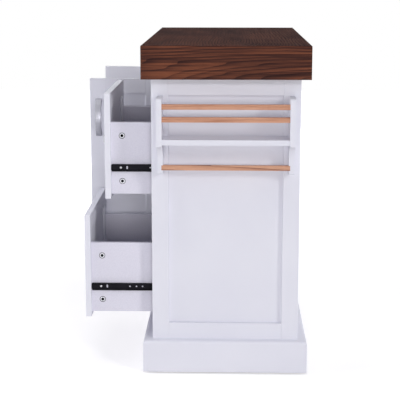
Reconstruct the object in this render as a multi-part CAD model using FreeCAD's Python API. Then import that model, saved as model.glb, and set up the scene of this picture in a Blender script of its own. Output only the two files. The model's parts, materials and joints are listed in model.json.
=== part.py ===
import FreeCAD, Part
import math
import os

Vector = FreeCAD.Vector

# Kitchen island with a rack at one end. Millimetres. X runs along the island towards the rack,
# the drawers and doors open towards -Y, and Z is up from the floor. While it is built, X and Y
# are zero at the middle of the cabinet. The last step puts the origin at the middle of the
# footprint that the island has with its drawers and doors open.

# Worktop, a mitre-folded walnut box on battens
worktop_width = 457.0
worktop_height = 914.5
worktop_edge_height = 90.0
worktop_board = 25.5
worktop_overhang = 25.5
worktop_arris = 1.5
batten_width = 44.0

# Plinth frame round the foot of the cabinet
floor_gap = 5.0
plinth_height = 89.0
plinth_board = 38.0
plinth_reach = 25.5
plinth_top_radius = 8.0
caster_rail_width = 110.0
caster_rail_thickness = 15.0

# Cabinet body of frames and panels
frame_thickness = 22.0
end_stile_width = 46.0
end_top_rail = 44.5
end_bottom_rail = 46.0
end_panel_thickness = 6.0
end_panel_recess = 12.0
end_groove = 8.0
front_top_rail = 41.5
front_mid_rail = 44.0
front_bottom_rail = 53.0
drawer_opening_width = 403.0
door_opening_width = 442.0
partition_thickness = 25.0
back_thickness = 12.0
floor_thickness = 18.0
edge_ease = 0.8
groove_play = 0.2
joint_play = 0.5

# Shelf in the cupboard
shelf_thickness = 16.0
shelf_setback = 8.0
shelf_play = 0.5
shelf_rise = 300.0
shelf_pin_radius = 2.5
shelf_pin_depth = 8.0
shelf_pin_reach = 9.0
shelf_pin_flat = 0.5
shelf_pin_inset = 34.0
shelf_hole_step = 32.0
shelf_hole_rows = 3
pin_hole_play = 0.05

# Drawers
front_reveal = 2.0
drawer_front_thickness = 16.0
drawer_front_stile = 45.0
drawer_front_rail = 45.0
drawer_front_panel = 6.0
drawer_front_recess = 5.0
drawer_front_groove = 7.0
drawer_edge_ease = 1.5
drawer_side_thickness = 12.0
drawer_side_lift = 12.5
drawer_side_drop = 79.5
drawer_back_clearance = 28.0
drawer_bottom_thickness = 5.0
drawer_bottom_lift = 10.0
drawer_groove = 6.0
upper_drawer_out = 130.0
lower_drawer_out = 190.0

# Ball-bearing slides of the drawers
slide_gap = 12.7
slide_rise = 73.5
sheet_thickness = 1.2
cabinet_member_height = 35.0
cabinet_member_clearance = 2.7
cabinet_member_lip = 3.0
drawer_member_height = 20.0
drawer_member_clearance = 4.7
drawer_member_nose = 5.0
slide_hole_radius = 2.3
slide_slot_height = 9.0
slide_front_holes = [27.0, 108.5, 127.0, 144.0]
slide_rear_holes = [50.0, 110.0]
slide_slot_distance = 44.5
cage_length = 100.0
cage_sheet = 0.8
cage_web_gap = 0.6
cage_arm_length = 5.4
cage_balls = 3
ball_play = 0.35
ball_pocket_play = 0.1

# Cam locks that hold the drawer sides to the drawer front
cam_radius = 7.5
cam_depth = 9.5
cam_rim_radius = 8.5
cam_rim = 0.6
cam_slot_width = 1.6
cam_slot_depth = 2.0
cam_inset = 31.0
cam_rise = 35.5
cam_drop = 37.5
cam_play = 0.1

# Doors
door_thickness = 16.0
door_stile_width = 45.0
door_rail_width = 45.0
door_panel_thickness = 5.0
door_panel_recess = 7.0
door_groove = 7.0
inner_door_angle = 90.0
outer_door_angle = 98.0

# Butt hinges of the doors
hinge_length = 60.0
hinge_inset = 70.0
hinge_leaf_thickness = 0.8
hinge_leaf_width = 15.0
knuckle_radius = 3.0
knuckle_gap = 0.4
knuckle_clearance = 0.5
hinge_hole_radius = 1.8
hinge_hole_inset = 5.5
hinge_hole_end = 9.0
pivot_standoff = 3.3
hinge_pin_radius = 1.5
hinge_pin_play = 0.06
hinge_pin_head_radius = 2.4
hinge_pin_head = 1.0

# Magnetic catch of the two doors
catch_length = 60.0
catch_depth = 14.0
catch_height = 34.0
catch_drop = 15.0
catch_play = 0.6

# Arched strip pulls
pull_length = 117.0
pull_width = 18.0
pull_reach = 30.0
pull_strip = 3.0
pull_foot = 13.0
door_pull_inset = 27.0
door_pull_drop = 121.0
drawer_pull_drop = 7.0

# Rack on the end frame
rack_bracket_thickness = 15.0
rack_bracket_inset = 18.0
rack_drop = 45.5
rack_height = 212.0
rack_step_drop = 128.0
rack_reach = 78.0
rack_lower_reach = 28.0
rack_top_radius = 8.0
rack_bottom_radius = 6.0
bar_depth = 12.0
bar_height = 13.5
bar_setback = 3.0
bar_housing = 4.0
bar_play = 0.1
spice_rail_drops = [29.0, 63.0]
rack_shelf_drop = 124.5
rack_shelf_thickness = 14.5
towel_bar_drop = 200.0
rack_screw_radius = 1.9
rack_screw_play = 0.3
rack_screw_bite = 18.0
rack_screw_head_radius = 4.0
rack_screw_head = 2.4
rack_screw_drops = [44.0, 154.0]

# Swivel casters hidden behind the plinth
wheel_clearance = 4.2
wheel_width = 22.0
wheel_hub_radius = 11.0
wheel_hub_width = 25.0
wheel_web_width = 10.0
wheel_rim_width = 8.0
wheel_edge_radius = 3.0
caster_offset = 24.0
caster_inset_x = 112.5
caster_inset_y = 103.5
plate_size = 64.0
plate_thickness = 2.5
plate_hole_inset = 9.0
plate_hole_radius = 2.8
race_radius = 19.0
race_height = 6.0
king_radius = 5.0
king_head_radius = 9.0
king_head = 2.5
king_play = 0.08
swivel_gap = 0.4
fork_crown_radius = 21.0
fork_sheet = 3.0
fork_gap = 1.0
fork_leg_half_width = 15.0
fork_eye_radius = 9.0
axle_radius = 4.0
axle_head_radius = 6.5
axle_head = 3.0
axle_play = 0.08

# How far a cut runs past the solid that it cuts
overrun = 2.0

# Places that follow from the sizes above
body_length = drawer_opening_width + partition_thickness + door_opening_width + 2 * frame_thickness
body_width = worktop_width - 2 * worktop_overhang
worktop_length = body_length + 2 * worktop_overhang
body_end = body_length / 2
body_front = -body_width / 2
body_back = body_width / 2
plinth_top = floor_gap + plinth_height
body_top = worktop_height - worktop_edge_height
inner_end = body_end - frame_thickness
floor_top = plinth_top + end_bottom_rail
back_face = body_back - back_thickness
partition_right = inner_end - drawer_opening_width
partition_left = partition_right - partition_thickness
door_opening_bottom = plinth_top + front_bottom_rail
door_opening_top = body_top - front_top_rail
door_opening_height = door_opening_top - door_opening_bottom
drawer_opening_height = (door_opening_height - front_mid_rail) / 2
mid_rail_bottom = door_opening_bottom + drawer_opening_height
upper_opening_bottom = mid_rail_bottom + front_mid_rail
door_width = (door_opening_width - 3 * front_reveal) / 2
door_height = door_opening_height - 2 * front_reveal
pivot_y = body_front - pivot_standoff
inner_pivot_x = partition_left - front_reveal / 2
outer_pivot_x = -inner_end + front_reveal / 2
drawer_front_inside = body_front + drawer_front_thickness
drawer_box_left = partition_right + slide_gap
drawer_box_right = inner_end - slide_gap
drawer_middle = (partition_right + inner_end) / 2
drawer_front_width = drawer_opening_width - 2 * front_reveal
drawer_front_height = drawer_opening_height - 2 * front_reveal
drawer_side_height = drawer_front_height - drawer_side_lift - drawer_side_drop
drawer_side_length = back_face - drawer_front_inside - drawer_back_clearance
drawer_travel = drawer_side_length - cage_length
cabinet_member_depth = slide_gap - cabinet_member_clearance
drawer_member_depth = slide_gap - drawer_member_clearance
slide_holes = slide_front_holes + [drawer_side_length - distance for distance in slide_rear_holes]
rack_inner_width = body_width - 2 * (rack_bracket_inset + rack_bracket_thickness)
rack_top = body_top - rack_drop
rack_bottom = rack_top - rack_height
rack_step = rack_top - rack_step_drop
rack_shelf_bottom = rack_top - rack_shelf_drop
towel_bar_bottom = rack_top - towel_bar_drop
caster_x = worktop_length / 2 - caster_inset_x
caster_y = worktop_width / 2 - caster_inset_y
plate_bottom = plinth_top - caster_rail_thickness - plate_thickness
race_bottom = plate_bottom - race_height
crown_top = race_bottom - swivel_gap
crown_bottom = crown_top - fork_sheet
king_bottom = crown_bottom - swivel_gap
wheel_radius = (king_bottom - king_head - wheel_clearance) / 2
fork_inside = wheel_hub_width / 2 + fork_gap


def block(x_low, x_high, y_low, y_high, z_low, z_high):
    corner = Vector(x_low, y_low, z_low)
    return Part.makeBox(x_high - x_low, y_high - y_low, z_high - z_low, corner)


def polygon(points):
    return Part.Face(Part.makePolygon(points + points[:1]))


def upright(outline, z_low, z_high):
    face = polygon([Vector(x, y, z_low) for x, y in outline])
    return face.extrude(Vector(0, 0, z_high - z_low))


def lengthwise(outline, x_low, x_high):
    face = polygon([Vector(x_low, y, z) for y, z in outline])
    return face.extrude(Vector(x_high - x_low, 0, 0))


def rod(radius, start, direction, length):
    return Part.makeCylinder(radius, length, start, direction)


def moved(shape, x, y, z):
    copy = shape.copy()
    copy.translate(Vector(x, y, z))
    return copy


def turned(shape, x, y, angle):
    copy = shape.copy()
    copy.rotate(Vector(x, y, 0), Vector(0, 0, 1), angle)
    return copy


def edges_where(shape, test):
    return [edge for edge in shape.Edges if test(edge.BoundBox)]


# Frame and panel work. It is built with its outer face on Y = 0, its lower left corner at the
# origin and its thickness towards +Y.

def grooved_stile(height, thickness, width, panel, recess, groove):
    slot_back = recess + panel + groove_play
    outline = [
        (edge_ease, 0),
        (width - edge_ease, 0),
        (width, edge_ease),
        (width, recess),
        (width - groove, recess),
        (width - groove, slot_back),
        (width, slot_back),
        (width, thickness),
        (0, thickness),
        (0, edge_ease),
    ]
    return upright(outline, 0, height)


def grooved_rail(length, thickness, height, panel, recess, groove):
    slot_back = recess + panel + groove_play
    outline = [
        (0, 0),
        (thickness, 0),
        (thickness, height),
        (slot_back, height),
        (slot_back, height - groove),
        (recess, height - groove),
        (recess, height),
        (edge_ease, height),
        (0, height - edge_ease),
    ]
    rail = lengthwise(outline, 0, length)
    tongue_length = groove - joint_play
    tongue = block(-tongue_length, length + tongue_length, recess, recess + panel, 0, height - groove)
    return rail.fuse(tongue).removeSplitter()


def upside_down(shape, height):
    return shape.mirror(Vector(0, 0, height / 2), Vector(0, 0, 1))


def framed_panel(width, height, thickness, stile, top_rail, bottom_rail, panel, recess, groove):
    left = grooved_stile(height, thickness, stile, panel, recess, groove)
    right = left.mirror(Vector(width / 2, 0, 0), Vector(1, 0, 0))
    between = width - 2 * stile
    lower = grooved_rail(between, thickness, bottom_rail, panel, recess, groove)
    upper = grooved_rail(between, thickness, top_rail, panel, recess, groove)
    upper = upside_down(upper, top_rail)
    reach = groove - joint_play
    board = block(
        stile - reach, width - stile + reach,
        recess, recess + panel,
        bottom_rail - reach, height - top_rail + reach,
    )
    rails = [moved(lower, stile, 0, 0), moved(upper, stile, 0, height - top_rail)]
    return [left, right], rails, [board]


# A rectangle of four mitred boards is cut from a ring by one wedge for each side.

def mitre_wedges(length, width, board, z_low, z_high):
    x = length / 2
    y = width / 2
    front = [(-x, -y), (x, -y), (x - board, board - y), (board - x, board - y)]
    right = [(x, -y), (x, y), (x - board, y - board), (x - board, board - y)]
    back = [(-px, -py) for px, py in front]
    left = [(-px, -py) for px, py in right]
    return [upright(outline, z_low, z_high) for outline in (front, right, back, left)]


def rectangle_wire(length, width, z):
    x = length / 2
    y = width / 2
    corners = [Vector(-x, -y, z), Vector(x, -y, z), Vector(x, y, z), Vector(-x, y, z)]
    return Part.makePolygon(corners + corners[:1])


def centred_block(length, width, z_low, z_high):
    return block(-length / 2, length / 2, -width / 2, width / 2, z_low, z_high)


# Worktop: the boards and the panel meet in a mitre along the upper edge, so that the top looks
# like one thick slab.

def worktop():
    slab = centred_block(worktop_length, worktop_width, body_top, worktop_height)
    upper_edges = edges_where(slab, lambda box: box.ZMin > worktop_height - worktop_arris)
    slab = slab.makeFillet(worktop_arris, upper_edges)
    inner_length = worktop_length - 2 * worktop_board
    inner_width = worktop_width - 2 * worktop_board
    underside = worktop_height - worktop_board
    folded = Part.makeLoft([
        rectangle_wire(inner_length, inner_width, underside),
        rectangle_wire(worktop_length, worktop_width, worktop_height),
    ], True, True)
    panel = slab.common(folded)
    hollow = centred_block(inner_length, inner_width, body_top, worktop_height)
    ring = slab.cut([folded, hollow])
    wedges = mitre_wedges(worktop_length, worktop_width, worktop_board, body_top, worktop_height)
    boards = [ring.common(wedge) for wedge in wedges]
    return [panel], boards


def worktop_battens():
    x = worktop_length / 2 - worktop_board
    y = worktop_width / 2 - worktop_board
    top = worktop_height - worktop_board
    inner_y = y - batten_width
    battens = []
    for side in (-1, 1):
        low, high = sorted((side * y, side * inner_y))
        battens.append(block(-x, x, low, high, body_top, top))
    for x_low in (-x, -batten_width / 2, x - batten_width):
        battens.append(block(x_low, x_low + batten_width, -inner_y, inner_y, body_top, top))
    return battens


# Plinth: four mitred boards with a rounded upper edge, and two cross rails for the casters.

def plinth_frame():
    length = body_length + 2 * plinth_reach
    width = body_width + 2 * plinth_reach
    solid = centred_block(length, width, floor_gap, plinth_top)
    upper_edges = edges_where(solid, lambda box: box.ZMin > plinth_top - plinth_top_radius)
    solid = solid.makeFillet(plinth_top_radius, upper_edges)
    inner_width = width - 2 * plinth_board
    ring = solid.cut(centred_block(length - 2 * plinth_board, inner_width, floor_gap, plinth_top))
    wedges = mitre_wedges(length, width, plinth_board, floor_gap, plinth_top)
    pieces = [ring.common(wedge) for wedge in wedges]
    rail_bottom = plinth_top - caster_rail_thickness
    for side in (-1, 1):
        middle = side * caster_x
        x_low = middle - caster_rail_width / 2
        x_high = middle + caster_rail_width / 2
        pieces.append(block(x_low, x_high, -inner_width / 2, inner_width / 2, rail_bottom, plinth_top))
    return pieces


# Cabinet body.

def end_frame():
    return framed_panel(
        body_width, body_top - plinth_top, frame_thickness, end_stile_width, end_top_rail,
        end_bottom_rail, end_panel_thickness, end_panel_recess, end_groove,
    )


def at_rack_end(shape):
    return moved(turned(shape, 0, 0, 90), body_end, body_front, plinth_top)


def at_plain_end(shape):
    return moved(turned(shape, 0, 0, -90), -body_end, body_back, plinth_top)


def front_rails():
    low = block(-inner_end, inner_end, body_front, body_front + frame_thickness,
                plinth_top, door_opening_bottom)
    high = block(-inner_end, inner_end, body_front, body_front + frame_thickness,
                 door_opening_top, body_top)
    return [low, high]


def drawer_divider_rail():
    return block(partition_right, inner_end, body_front, body_front + frame_thickness,
                 mid_rail_bottom, upper_opening_bottom)


def centre_partition():
    board = block(partition_left, partition_right, body_front, back_face, floor_top, body_top)
    notch_back = body_front + frame_thickness
    for z_low, z_high in ((floor_top, door_opening_bottom), (door_opening_top, body_top)):
        notch = block(partition_left, partition_right, body_front, notch_back, z_low, z_high)
        board = board.cut(notch)
    return board.cut(shelf_holes(partition_left, 1))


def back_panel():
    return block(-inner_end, inner_end, back_face, body_back, plinth_top, body_top)


def cabinet_floor():
    return block(-inner_end, inner_end, body_front + frame_thickness, back_face,
                 floor_top - floor_thickness, floor_top)


# Cupboard shelf on four pins, with spare rows of pin holes above and below.

def shelf_pin_places():
    return [body_front + shelf_pin_inset, body_back - shelf_pin_inset]


def shelf_holes(face_x, side):
    holes = []
    direction = Vector(side, 0, 0)
    for row in range(shelf_hole_rows):
        z = floor_top + shelf_rise + (row - (shelf_hole_rows - 1) / 2) * shelf_hole_step
        for y in shelf_pin_places():
            start = Vector(face_x - side * overrun, y, z)
            holes.append(rod(shelf_pin_radius + pin_hole_play, start, direction,
                             shelf_pin_depth + overrun))
    return holes


def shelf_pins():
    pins = []
    z = floor_top + shelf_rise
    flat = z + shelf_pin_radius - shelf_pin_flat
    for face_x, side in ((partition_left, 1), (-inner_end, -1)):
        for y in shelf_pin_places():
            start = Vector(face_x - side * shelf_pin_reach, y, z)
            pin = rod(shelf_pin_radius, start, Vector(side, 0, 0), shelf_pin_reach + shelf_pin_depth)
            x_low, x_high = sorted((face_x, face_x - side * shelf_pin_reach))
            cap = block(x_low - overrun * (side > 0), x_high + overrun * (side < 0),
                        y - shelf_pin_radius, y + shelf_pin_radius, flat, z + shelf_pin_radius)
            pins.append(pin.cut(cap))
    return pins


def cupboard_shelf():
    bottom = floor_top + shelf_rise + shelf_pin_radius - shelf_pin_flat
    front = body_front + frame_thickness + shelf_setback
    return block(-inner_end + shelf_play, partition_left - shelf_play, front,
                 back_face - shelf_play, bottom, bottom + shelf_thickness)


# Drawer slides. Each function takes the face that the slide is fixed to and the direction in X
# that points away from that face into the gap beside the drawer.

def channel(face_x, side, depth, height, lip, y_low, y_high, z):
    half = height / 2
    web = sheet_thickness
    outline = [
        (0, -half),
        (depth, -half),
        (depth, lip - half),
        (depth - web, lip - half),
        (depth - web, web - half),
        (web, web - half),
    ]
    outline = outline + [(u, -v) for u, v in reversed(outline)]
    face = polygon([Vector(face_x + side * u, y_low, z + v) for u, v in outline])
    return face.extrude(Vector(0, y_high - y_low, 0))


def slide_height(opening_bottom):
    return opening_bottom + front_reveal + drawer_side_lift + slide_rise


def slide_walls():
    return ((partition_right, 1), (inner_end, -1))


def slide_screw_holes(face_x, side, z):
    along = Vector(side, 0, 0)
    through = cabinet_member_depth + 2 * overrun
    start = face_x - side * overrun
    return [
        rod(slide_hole_radius, Vector(start, drawer_front_inside + distance, z), along, through)
        for distance in slide_holes
    ]


def cabinet_runners():
    runners = []
    back = drawer_front_inside + drawer_side_length
    for opening_bottom in (door_opening_bottom, upper_opening_bottom):
        z = slide_height(opening_bottom)
        for face_x, side in slide_walls():
            member = channel(face_x, side, cabinet_member_depth, cabinet_member_height,
                             cabinet_member_lip, drawer_front_inside, back, z)
            runners.append(member.cut(slide_screw_holes(face_x, side, z)))
    return runners


def drawer_member(face_x, side, z):
    front = drawer_front_inside
    back = front + drawer_side_length
    member = channel(face_x, side, drawer_member_depth, drawer_member_height,
                     sheet_thickness, front, back, z)
    start = face_x - side * overrun
    along = Vector(side, 0, 0)
    through = drawer_member_depth + 2 * overrun
    half = drawer_member_height / 2
    nose = drawer_member_nose
    cuts = slide_screw_holes(face_x, side, z)
    for flip in (-1, 1):
        corner = block(-overrun, through, front, front + nose, half - nose, half)
        corner = corner.cut(rod(nose, Vector(-overrun, front + nose, half - nose),
                                Vector(1, 0, 0), through + overrun))
        if flip < 0:
            corner = corner.mirror(Vector(0, 0, 0), Vector(0, 0, 1))
        if side < 0:
            corner = corner.mirror(Vector(0, 0, 0), Vector(1, 0, 0))
        cuts.append(moved(corner, face_x, 0, z))
    slot_half = slide_slot_height / 2 - slide_hole_radius
    slot_y = front + slide_slot_distance
    for end in (-1, 1):
        cuts.append(rod(slide_hole_radius, Vector(start, slot_y, z + end * slot_half), along, through))
    x_low, x_high = sorted((start, start + side * through))
    cuts.append(block(x_low, x_high, slot_y - slide_hole_radius, slot_y + slide_hole_radius,
                      z - slot_half, z + slot_half))
    return member.cut(cuts)


# The cage of a slide carries two rows of balls between the flanges of the two members. It is as
# long as the overlap that is left at full travel, and moves half as far as the drawer.

def ball_cage(wall_x, side, z):
    front = drawer_front_inside + drawer_travel / 2
    raceway = cabinet_member_height / 2 - sheet_thickness
    row = (drawer_member_height / 2 + raceway) / 2
    ball_radius = (raceway - drawer_member_height / 2) / 2 - ball_play
    web_near = sheet_thickness + cage_web_gap
    web_far = web_near + cage_sheet
    ball_x = wall_x + side * (web_far + ball_radius)
    half = row + cage_sheet / 2
    outline = [
        (web_near, -half),
        (web_far + cage_arm_length, -half),
        (web_far + cage_arm_length, cage_sheet - half),
        (web_far, cage_sheet - half),
    ]
    tail = [(u, -v) for u, v in reversed(outline)]
    face = polygon([Vector(wall_x + side * u, front, z + v) for u, v in outline + tail])
    cage = face.extrude(Vector(0, cage_length, 0))
    balls = []
    pockets = []
    for number in range(cage_balls):
        y = front + cage_length * (number + 0.5) / cage_balls
        for direction in (-1, 1):
            centre = Vector(ball_x, y, z + direction * row)
            balls.append(Part.makeSphere(ball_radius, centre))
            pocket_start = Vector(ball_x, y, z + direction * row - cage_sheet)
            pockets.append(rod(ball_radius + ball_pocket_play, pocket_start,
                               Vector(0, 0, 1), 2 * cage_sheet))
    return [cage.cut(pockets)] + balls


def ball_cages(opening_bottom):
    solids = []
    for wall_x, side in slide_walls():
        solids += ball_cage(wall_x, side, slide_height(opening_bottom))
    return solids


# Drawers, built shut. All sizes are the same for both, so each takes only the bottom of its
# opening.

def drawer_front(opening_bottom):
    stiles, rails, panel = framed_panel(
        drawer_front_width, drawer_front_height, drawer_front_thickness, drawer_front_stile,
        drawer_front_rail, drawer_front_rail, drawer_front_panel, drawer_front_recess,
        drawer_front_groove,
    )
    x = partition_right + front_reveal
    z = opening_bottom + front_reveal
    groove = bottom_groove(opening_bottom, drawer_front_inside - drawer_groove, drawer_front_inside)
    frame = [moved(solid, x, body_front, z).cut(groove) for solid in stiles + rails]
    return frame + [moved(board, x, body_front, z) for board in panel]


def box_bottom(opening_bottom):
    return opening_bottom + front_reveal + drawer_side_lift


def bottom_groove(opening_bottom, y_low, y_high):
    low = box_bottom(opening_bottom) + drawer_bottom_lift
    inset = drawer_side_thickness - drawer_groove
    return block(drawer_box_left + inset, drawer_box_right - inset, y_low, y_high,
                 low, low + drawer_bottom_thickness + groove_play)


def cam_places(opening_bottom):
    y = drawer_front_inside + cam_inset
    low = box_bottom(opening_bottom)
    return [(y, low + cam_rise), (y, low + drawer_side_height - cam_drop)]


def drawer_sides(opening_bottom):
    low = box_bottom(opening_bottom)
    back = drawer_front_inside + drawer_side_length
    groove = bottom_groove(opening_bottom, drawer_front_inside, back)
    sides = []
    for outer_x, side in ((drawer_box_left, 1), (drawer_box_right, -1)):
        x_low, x_high = sorted((outer_x, outer_x + side * drawer_side_thickness))
        board = block(x_low, x_high, drawer_front_inside, back, low, low + drawer_side_height)
        top = edges_where(board, lambda box: box.ZMin > low and box.YLength > drawer_side_thickness)
        board = board.makeFillet(drawer_edge_ease, top)
        bores = [
            rod(cam_radius + cam_play, Vector(outer_x - side * overrun, y, z),
                Vector(side, 0, 0), cam_depth + overrun)
            for y, z in cam_places(opening_bottom)
        ]
        sides.append(board.cut([groove] + bores))
    return sides


def drawer_back(opening_bottom):
    low = box_bottom(opening_bottom) + drawer_bottom_lift + drawer_bottom_thickness
    high = box_bottom(opening_bottom) + drawer_side_height
    back = drawer_front_inside + drawer_side_length
    return block(drawer_box_left + drawer_side_thickness, drawer_box_right - drawer_side_thickness,
                 back - drawer_side_thickness, back, low, high)


def drawer_bottom(opening_bottom):
    low = box_bottom(opening_bottom) + drawer_bottom_lift
    inset = drawer_side_thickness - drawer_groove + joint_play
    return block(drawer_box_left + inset, drawer_box_right - inset,
                 drawer_front_inside - drawer_groove + joint_play,
                 drawer_front_inside + drawer_side_length,
                 low, low + drawer_bottom_thickness)


def cam_locks(opening_bottom):
    locks = []
    half_slot = cam_slot_width / 2
    for outer_x, side in ((drawer_box_left, 1), (drawer_box_right, -1)):
        inward = Vector(side, 0, 0)
        for y, z in cam_places(opening_bottom):
            barrel = rod(cam_radius, Vector(outer_x, y, z), inward, cam_depth)
            rim = rod(cam_rim_radius, Vector(outer_x - side * cam_rim, y, z), inward, cam_rim)
            x_low, x_high = sorted((outer_x - side * overrun, outer_x + side * cam_slot_depth))
            reach = cam_radius / 2
            cross = [
                block(x_low, x_high, y - half_slot, y + half_slot, z - reach, z + reach),
                block(x_low, x_high, y - reach, y + reach, z - half_slot, z + half_slot),
            ]
            locks.append(barrel.fuse(rim).removeSplitter().cut(cross))
    return locks


def drawer_runners(opening_bottom):
    z = slide_height(opening_bottom)
    return [drawer_member(drawer_box_left, -1, z), drawer_member(drawer_box_right, 1, z)]


# Arched pull: a strip with two flat feet. It is built along X on the face Y = 0, standing out
# towards -Y, with its middle at the origin.

def arched_pull():
    half = pull_length / 2
    inner_reach = pull_reach - pull_strip
    foot_end = half - pull_foot
    outer = Part.Arc(Vector(-half, -pull_strip, 0), Vector(0, -pull_reach, 0),
                     Vector(half, -pull_strip, 0)).toShape()
    inner = Part.Arc(Vector(foot_end, 0, 0), Vector(0, -inner_reach, 0),
                     Vector(-foot_end, 0, 0)).toShape()
    right = Part.makePolygon([Vector(half, -pull_strip, 0), Vector(half, 0, 0),
                              Vector(foot_end, 0, 0)])
    left = Part.makePolygon([Vector(-foot_end, 0, 0), Vector(-half, 0, 0),
                             Vector(-half, -pull_strip, 0)])
    outline = Part.Wire([outer] + right.Edges + [inner] + left.Edges)
    strip = Part.Face(outline).extrude(Vector(0, 0, pull_width))
    return moved(strip, 0, 0, -pull_width / 2)


def drawer_pull(opening_bottom):
    z = opening_bottom + drawer_opening_height / 2 - drawer_pull_drop
    return moved(arched_pull(), drawer_middle, body_front + drawer_front_recess, z)


def door_pull(pivot_x, side):
    standing = arched_pull()
    standing.rotate(Vector(0, 0, 0), Vector(0, 1, 0), 90)
    x = pivot_x + side * (front_reveal / 2 + door_width - door_pull_inset)
    z = door_opening_top - front_reveal - door_pull_drop
    return moved(standing, x, body_front, z)


# Doors, built shut. A door hangs from its pivot, and the side says which way it reaches from
# there along X: -1 for the inner door and 1 for the outer door.

def door_leaf_parts(pivot_x, side):
    near = pivot_x + side * front_reveal / 2
    x_low = min(near, near + side * door_width)
    stiles, rails, panel = framed_panel(
        door_width, door_height, door_thickness, door_stile_width, door_rail_width,
        door_rail_width, door_panel_thickness, door_panel_recess, door_groove,
    )
    z = door_opening_bottom + front_reveal
    placed = []
    for solids in (stiles, rails, panel):
        placed.append([moved(solid, x_low, body_front, z) for solid in solids])
    return placed


def hinge_bottoms():
    low = door_opening_bottom + front_reveal + hinge_inset
    high = door_opening_top - front_reveal - hinge_inset - hinge_length
    return [low, high]


def knuckle(pivot_x, z_low, z_high):
    start = Vector(pivot_x, pivot_y, z_low)
    return rod(knuckle_radius, start, Vector(0, 0, 1), z_high - z_low)


def pin_bore(pivot_x, z_low):
    start = Vector(pivot_x, pivot_y, z_low - overrun)
    return rod(hinge_pin_radius + hinge_pin_play, start, Vector(0, 0, 1),
               hinge_length + 2 * overrun)


def hinge_screw_places(z_low):
    y = pivot_y + hinge_leaf_width - hinge_hole_inset
    ends = (z_low + hinge_hole_end, z_low + hinge_length / 2, z_low + hinge_length - hinge_hole_end)
    return [(y, z) for z in ends]


def hinge_leaf(pivot_x, side, z_low, knuckle_spans):
    outer = pivot_x + side * front_reveal / 2
    inner = outer - side * hinge_leaf_thickness
    x_low, x_high = sorted((inner, outer))
    clear_y = pivot_y + knuckle_radius + knuckle_clearance
    leaf = block(x_low, x_high, clear_y, pivot_y + hinge_leaf_width, z_low, z_low + hinge_length)
    for span_low, span_high in knuckle_spans:
        tab = block(x_low, x_high, pivot_y, clear_y, span_low, span_high)
        leaf = leaf.fuse([tab, knuckle(pivot_x, span_low, span_high)])
    holes = [
        rod(hinge_hole_radius, Vector(x_low - overrun, y, z), Vector(1, 0, 0),
            hinge_leaf_thickness + 2 * overrun)
        for y, z in hinge_screw_places(z_low)
    ]
    return leaf.removeSplitter().cut([pin_bore(pivot_x, z_low)] + holes)


def knuckle_levels(z_low):
    third = hinge_length / 3
    gap = knuckle_gap / 2
    lower = (z_low, z_low + third - gap)
    middle = (z_low + third + gap, z_low + 2 * third - gap)
    upper = (z_low + 2 * third + gap, z_low + hinge_length)
    return lower, middle, upper


def frame_hinges(pivot_x, side):
    solids = []
    for z_low in hinge_bottoms():
        levels = knuckle_levels(z_low)
        solids.append(hinge_leaf(pivot_x, -side, z_low, [levels[0], levels[2]]))
        shank = rod(hinge_pin_radius, Vector(pivot_x, pivot_y, z_low), Vector(0, 0, 1), hinge_length)
        head = rod(hinge_pin_head_radius, Vector(pivot_x, pivot_y, z_low + hinge_length),
                   Vector(0, 0, 1), hinge_pin_head)
        solids.append(shank.fuse(head).removeSplitter())
    return solids


def door_hinges(pivot_x, side):
    solids = []
    for z_low in hinge_bottoms():
        solids.append(hinge_leaf(pivot_x, side, z_low, [knuckle_levels(z_low)[1]]))
    return solids


def door_catch():
    x = (partition_left - inner_end) / 2
    rail_back = body_front + frame_thickness
    low = door_opening_top - catch_drop
    body = block(x - catch_length / 2, x + catch_length / 2, rail_back, rail_back + catch_depth,
                 low, low + catch_height)
    nose = block(x - catch_length / 2, x + catch_length / 2,
                 body_front + door_thickness + catch_play, rail_back, low, door_opening_top)
    return body.fuse(nose).removeSplitter()


# Rack on the end frame: two brackets with a cove, two rails, a shelf and a towel bar.

def bracket_outline(y):
    cove = rack_reach - rack_lower_reach
    swing = math.sqrt(0.5)
    back = body_end
    low_face = back + rack_lower_reach
    high_face = back + rack_reach
    soft = rack_bottom_radius
    round_top = rack_top_radius
    low_corner = Vector(low_face - soft, y, rack_bottom + soft)
    top_corner = Vector(high_face - round_top, y, rack_top - round_top)
    cove_centre = Vector(high_face, y, rack_step - cove)
    return Part.Wire([
        Part.makeLine(Vector(back, y, rack_bottom), Vector(low_face - soft, y, rack_bottom)),
        Part.Arc(Vector(low_face - soft, y, rack_bottom),
                 low_corner + Vector(swing * soft, 0, -swing * soft),
                 Vector(low_face, y, rack_bottom + soft)).toShape(),
        Part.makeLine(Vector(low_face, y, rack_bottom + soft),
                      Vector(low_face, y, rack_step - cove)),
        Part.Arc(Vector(low_face, y, rack_step - cove),
                 cove_centre + Vector(-swing * cove, 0, swing * cove),
                 Vector(high_face, y, rack_step)).toShape(),
        Part.makeLine(Vector(high_face, y, rack_step),
                      Vector(high_face, y, rack_top - round_top)),
        Part.Arc(Vector(high_face, y, rack_top - round_top),
                 top_corner + Vector(swing * round_top, 0, swing * round_top),
                 Vector(high_face - round_top, y, rack_top)).toShape(),
        Part.makeLine(Vector(high_face - round_top, y, rack_top), Vector(back, y, rack_top)),
        Part.makeLine(Vector(back, y, rack_top), Vector(back, y, rack_bottom)),
    ])


def rack_bar(x_low, x_high, z_low, z_high, grow):
    half = rack_inner_width / 2 + bar_housing
    return block(x_low - grow, x_high + grow, -half - grow, half + grow, z_low - grow, z_high + grow)


def spice_rails(grow):
    front = body_end + rack_reach - bar_setback
    bottoms = [rack_top - drop for drop in spice_rail_drops]
    return [rack_bar(front - bar_depth, front, z, z + bar_height, grow) for z in bottoms]


def rack_shelf(grow):
    return rack_bar(body_end + grow, body_end + rack_reach - bar_setback, rack_shelf_bottom,
                    rack_shelf_bottom + rack_shelf_thickness, grow)


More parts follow.
